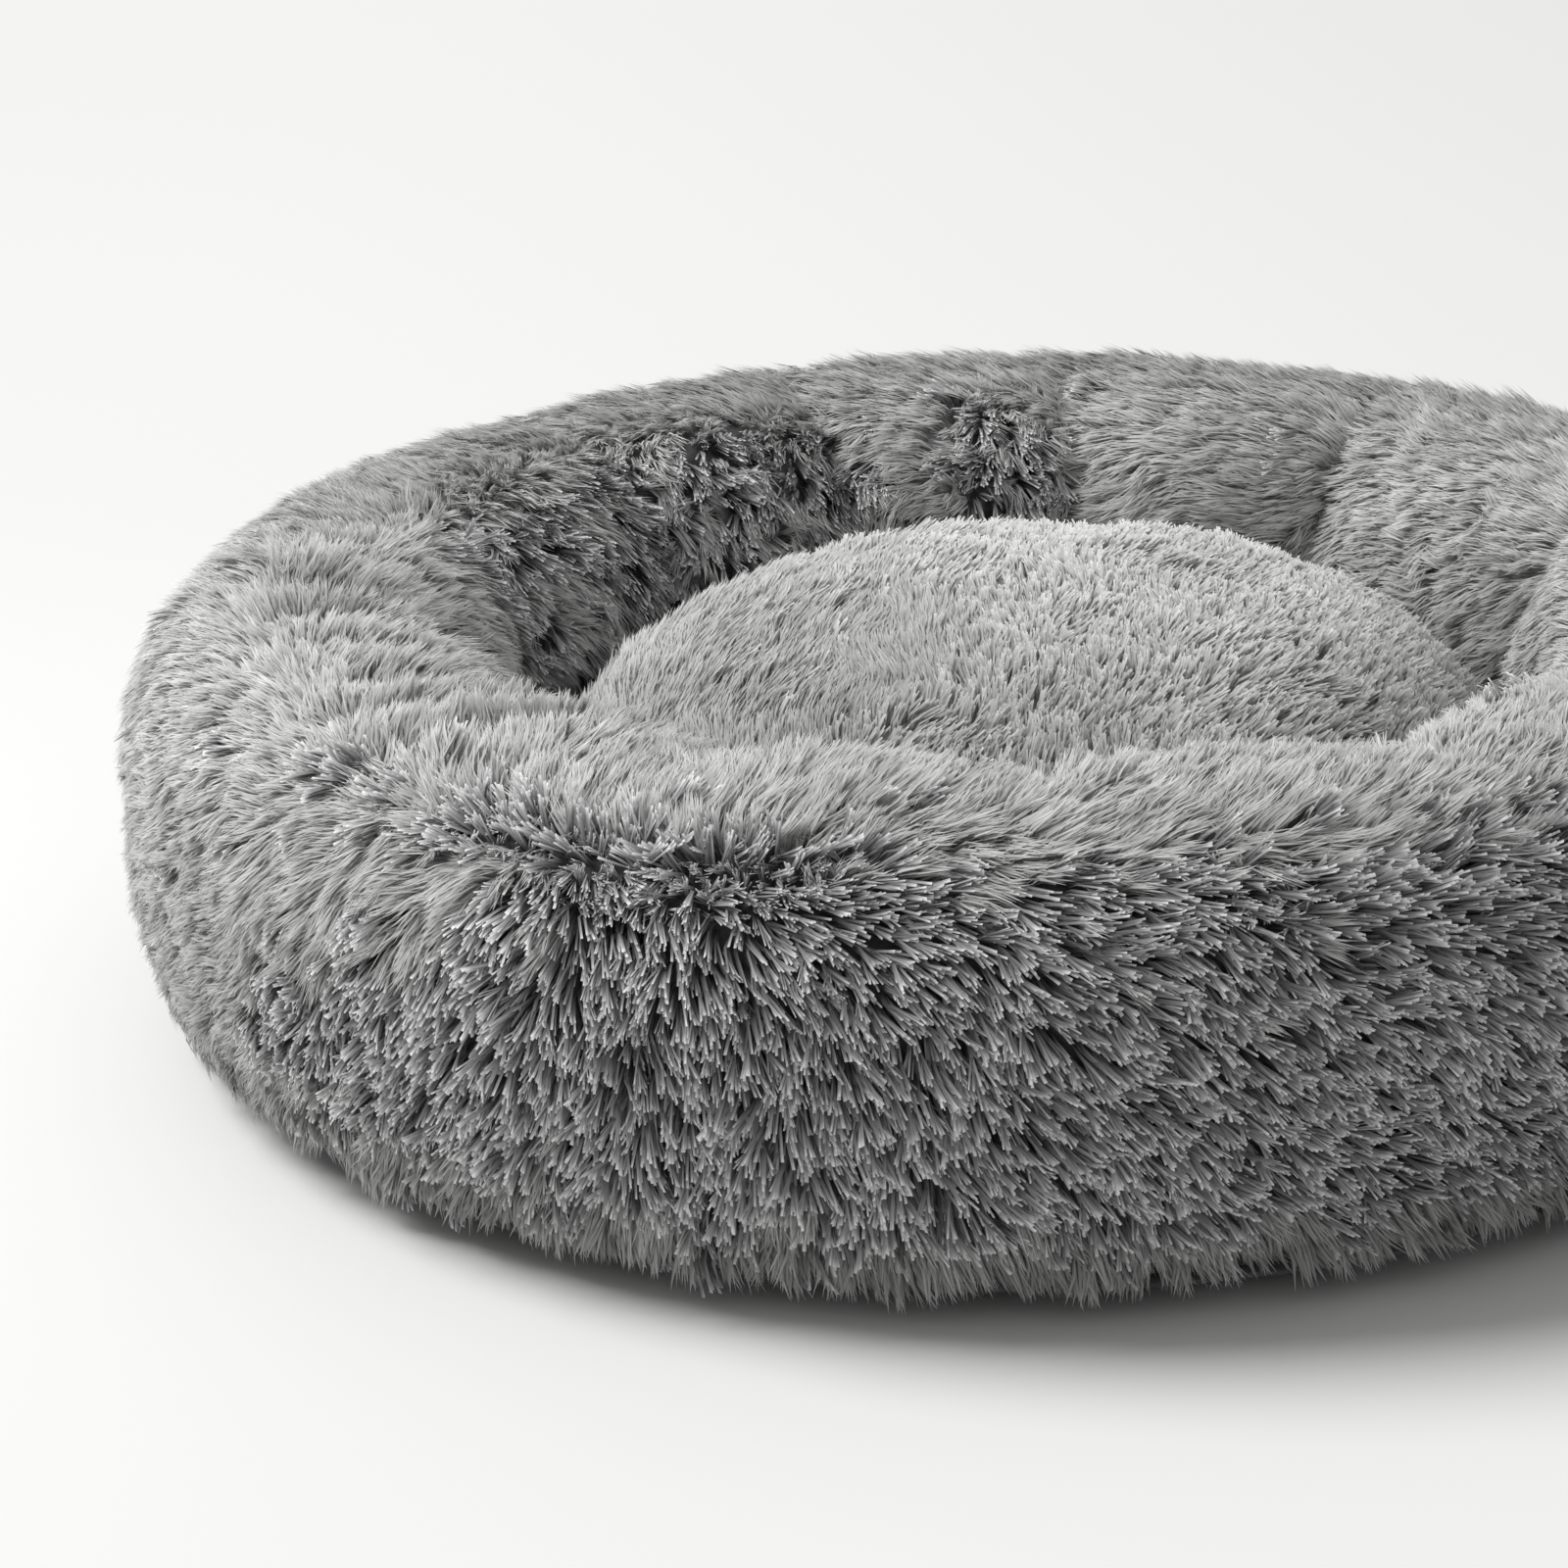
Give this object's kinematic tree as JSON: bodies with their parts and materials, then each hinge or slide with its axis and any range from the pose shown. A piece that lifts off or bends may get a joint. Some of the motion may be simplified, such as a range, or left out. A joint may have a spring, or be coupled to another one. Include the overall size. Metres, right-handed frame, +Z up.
{
  "type": "donut pet bed",
  "caption": "Round shag plush pet bed: a fat stuffed ring with a gathered inner wall around a domed, lift-out plush cushion.",
  "frame": {"origin": "centre of the bed's footprint, on the floor it stands on", "axes": "+Z up along the bed's axis, -Y towards the viewer of the picture, +X to their right"},
  "size_m": [0.75, 0.75, 0.1909],
  "materials": {
    "ring_plush": "long shag pile, matt, in loose tufts",
    "cushion_plush": "short dense pile, matt",
    "nonwoven": "spunbonded sheet, matt",
    "polyester_fill": "loose fibre",
    "base_cloth": "plain woven cloth with small grip dots",
    "underside_cloth": "plain woven cloth, matt",
    "binding_webbing": "ribbed webbing",
    "zip_tape": "herringbone zip tape",
    "zip_coil": "satin monofilament coil",
    "zip_metal": "dark satin paint"
  },
  "bodies": {
    "bed": {"bolster_cover": "ring_plush", "bolster_liner": "nonwoven", "bolster_fill": "polyester_fill", "base_panel": "base_cloth", "seam_binding": "binding_webbing", "zip_tape_upper": "zip_tape", "zip_tape_lower": "zip_tape", "zip_coil_upper": "zip_coil", "zip_coil_lower": "zip_coil", "zip_top_stop_upper": "zip_metal", "zip_top_stop_lower": "zip_metal", "zip_bottom_stop": "zip_metal"},
    "zip_slider_body": {"zip_slider": "zip_metal"},
    "zip_pull_body": {"zip_pull": "zip_metal"},
    "cushion": {"cushion_top": "cushion_plush", "cushion_underside": "underside_cloth", "cushion_fill": "polyester_fill"}
  },
  "joints": [
    {"name": "cushion_lift", "type": "slide", "parent": "bed", "child": "cushion", "axis": [0, 0, 1], "range_m": [0, 0.2]},
    {"name": "zip_travel", "type": "hinge", "parent": "bed", "child": "zip_slider_body", "pos_m": [0, 0, 0.02248], "axis": [0, 0, 1], "range_deg": [0, 168.5], "deforming": ["zip_coil_upper", "zip_coil_lower"]},
    {"name": "pull_swing", "type": "hinge", "parent": "zip_slider_body", "child": "zip_pull_body", "pos_m": [0.35255, 0.03459, 0.01975], "axis": [-0.5419, -0.0532, -0.8388], "range_deg": [0, 150]}
  ]
}
